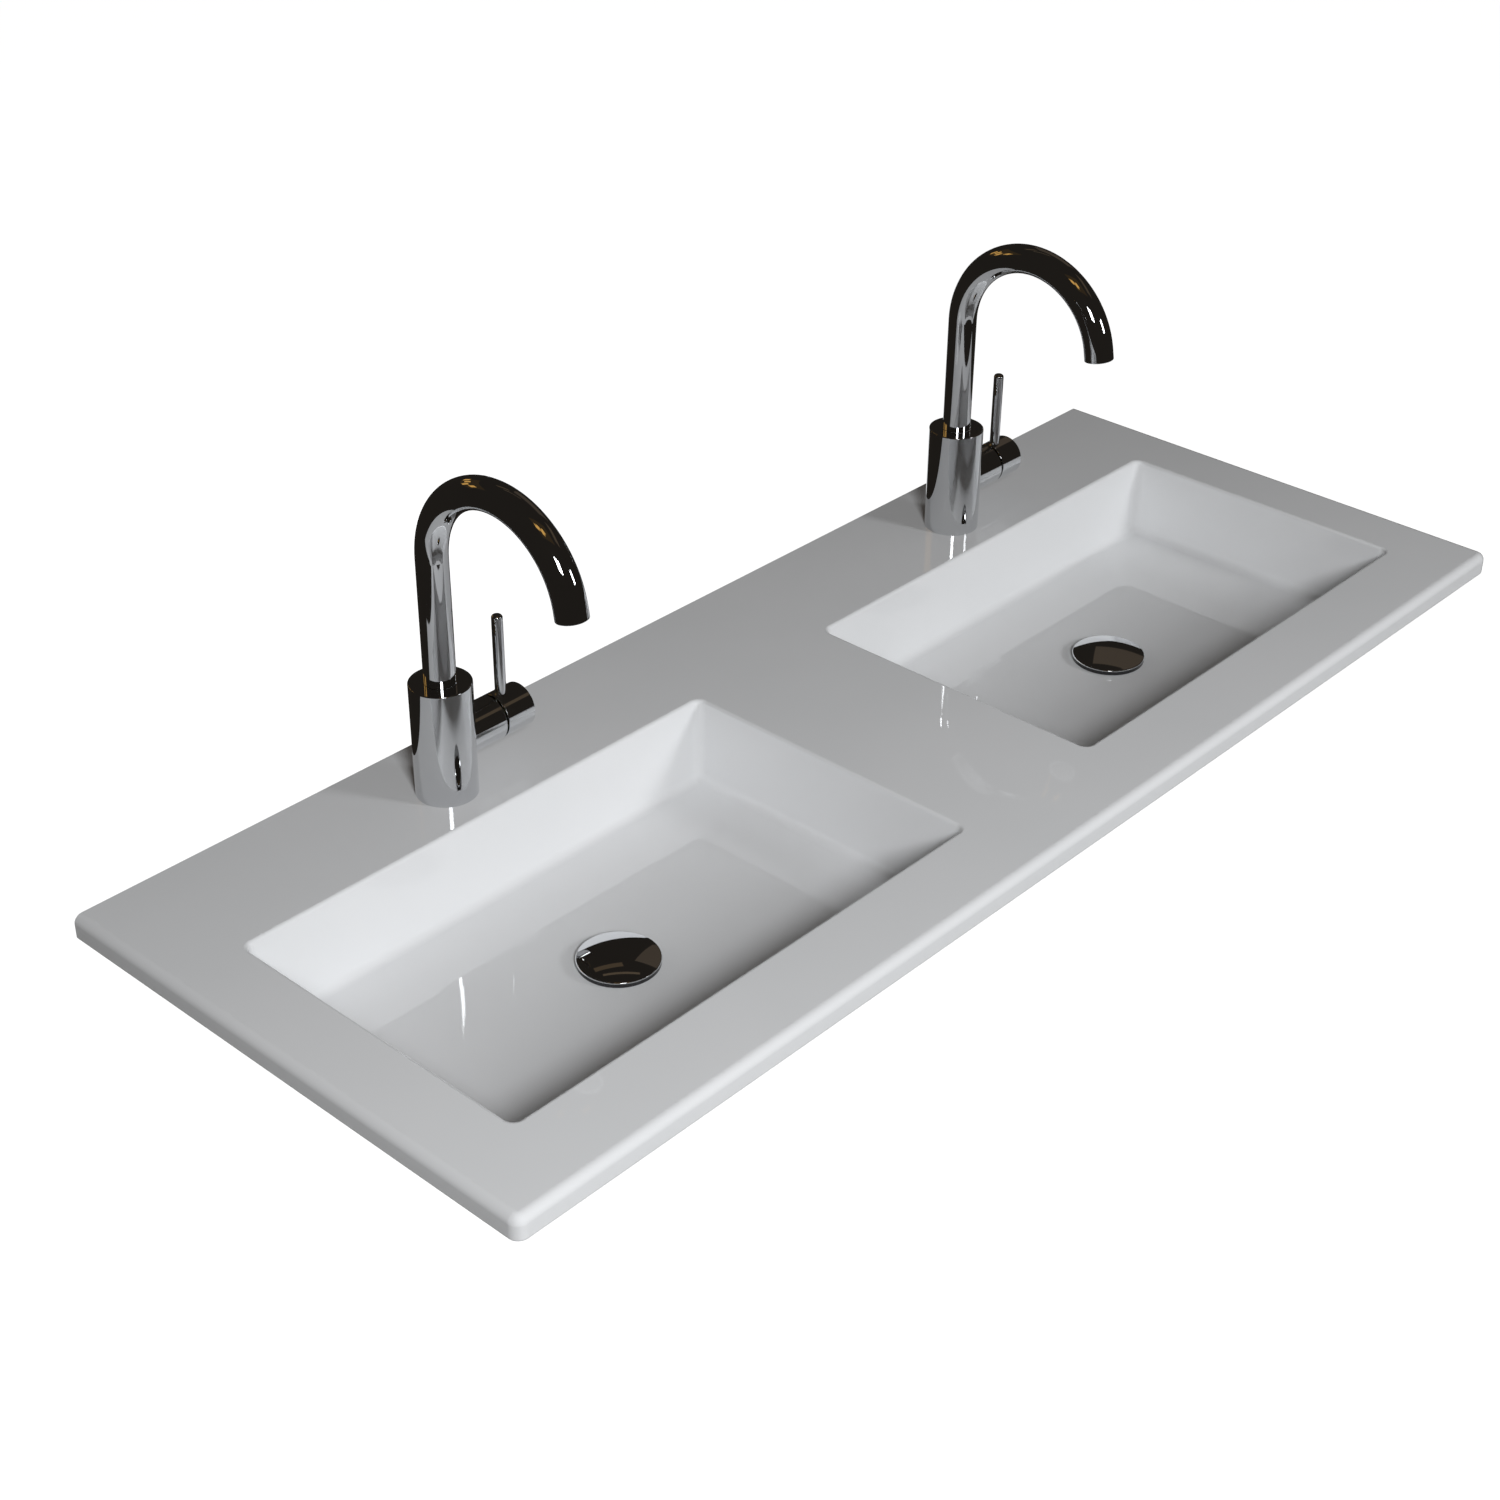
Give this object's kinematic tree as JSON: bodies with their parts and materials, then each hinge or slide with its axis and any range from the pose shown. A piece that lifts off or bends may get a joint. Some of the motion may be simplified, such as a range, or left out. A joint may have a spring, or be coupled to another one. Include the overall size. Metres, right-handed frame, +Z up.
{
  "type": "double vanity top with mixers",
  "caption": "Glossy white vanity top with rectangular bowls side by side, chrome swivel-spout side-lever basin mixers on the tap deck and push-open chrome wastes.",
  "frame": {"origin": "on the flat underside of the slab, midway between the bowls and midway from front to back", "axes": "+Z up; X along the length, with the left bowl at -X as the user sees it; the wall at +Y and the user at -Y"},
  "size_m": [1.2, 0.46, 0.4265],
  "materials": {
    "gloss_white": "high gloss",
    "chrome": "polished plating",
    "rubber": "matt",
    "seal_rubber": "smooth, half gloss",
    "white_plastic": "moulded",
    "grey_plastic": "moulded",
    "disc_ceramic": "lapped",
    "brass": "turned",
    "steel": "zinc plated"
  },
  "bodies": {
    "top": {"basin_top": "gloss_white", "mixer_base_seals": "rubber", "fixing_studs": "steel", "horseshoe_gaskets": "rubber", "horseshoe_plates": "steel", "fixing_nuts": "brass", "spout_screws": "steel", "left_mixer_body": "chrome", "left_spout_bush": "white_plastic", "left_cartridge_housing": "grey_plastic", "left_cartridge_fixed_disc": "disc_ceramic", "left_cartridge_nut": "brass", "left_waste_body": "chrome", "left_waste_top_seal": "rubber", "left_waste_gasket": "rubber", "left_waste_nut": "brass", "left_click_housing": "grey_plastic", "left_plunger_spring": "steel", "right_mixer_body": "chrome", "right_spout_bush": "white_plastic", "right_cartridge_housing": "grey_plastic", "right_cartridge_fixed_disc": "disc_ceramic", "right_cartridge_nut": "brass", "right_waste_body": "chrome", "right_waste_top_seal": "rubber", "right_waste_gasket": "rubber", "right_waste_nut": "brass", "right_click_housing": "grey_plastic", "right_plunger_spring": "steel"},
    "left_spout": {"left_spout": "chrome", "left_spout_seals": "rubber", "left_aerator_shell": "grey_plastic", "left_aerator_insert": "white_plastic"},
    "left_handle": {"left_handle_cap": "chrome", "left_lever": "chrome", "left_lever_screw": "steel", "left_cartridge_stem": "brass", "left_cartridge_turning_disc": "disc_ceramic"},
    "left_plug": {"left_plug_cap": "chrome", "left_plug_seal": "seal_rubber", "left_plunger": "brass"},
    "right_spout": {"right_spout": "chrome", "right_spout_seals": "rubber", "right_aerator_shell": "grey_plastic", "right_aerator_insert": "white_plastic"},
    "right_handle": {"right_handle_cap": "chrome", "right_lever": "chrome", "right_lever_screw": "steel", "right_cartridge_stem": "brass", "right_cartridge_turning_disc": "disc_ceramic"},
    "right_plug": {"right_plug_cap": "chrome", "right_plug_seal": "seal_rubber", "right_plunger": "brass"}
  },
  "joints": [
    {"name": "left_spout_swivel", "type": "hinge", "parent": "top", "child": "left_spout", "pos_m": [-0.309, 0.16, 0.117], "axis": [0, 0, 1], "range_deg": [-60, 60]},
    {"name": "left_handle_turn", "type": "hinge", "parent": "top", "child": "left_handle", "pos_m": [-0.309, 0.16, 0.064], "axis": [1, 0, 0], "range_deg": [0, 90]},
    {"name": "left_plug_lift", "type": "slide", "parent": "top", "child": "left_plug", "axis": [0, 0, 1], "range_m": [0, 0.008], "deforming": ["left_plunger_spring"]},
    {"name": "right_spout_swivel", "type": "hinge", "parent": "top", "child": "right_spout", "pos_m": [0.309, 0.16, 0.117], "axis": [0, 0, 1], "range_deg": [-60, 60]},
    {"name": "right_handle_turn", "type": "hinge", "parent": "top", "child": "right_handle", "pos_m": [0.309, 0.16, 0.064], "axis": [1, 0, 0], "range_deg": [0, 90]},
    {"name": "right_plug_lift", "type": "slide", "parent": "top", "child": "right_plug", "axis": [0, 0, 1], "range_m": [0, 0.008], "deforming": ["right_plunger_spring"]}
  ]
}
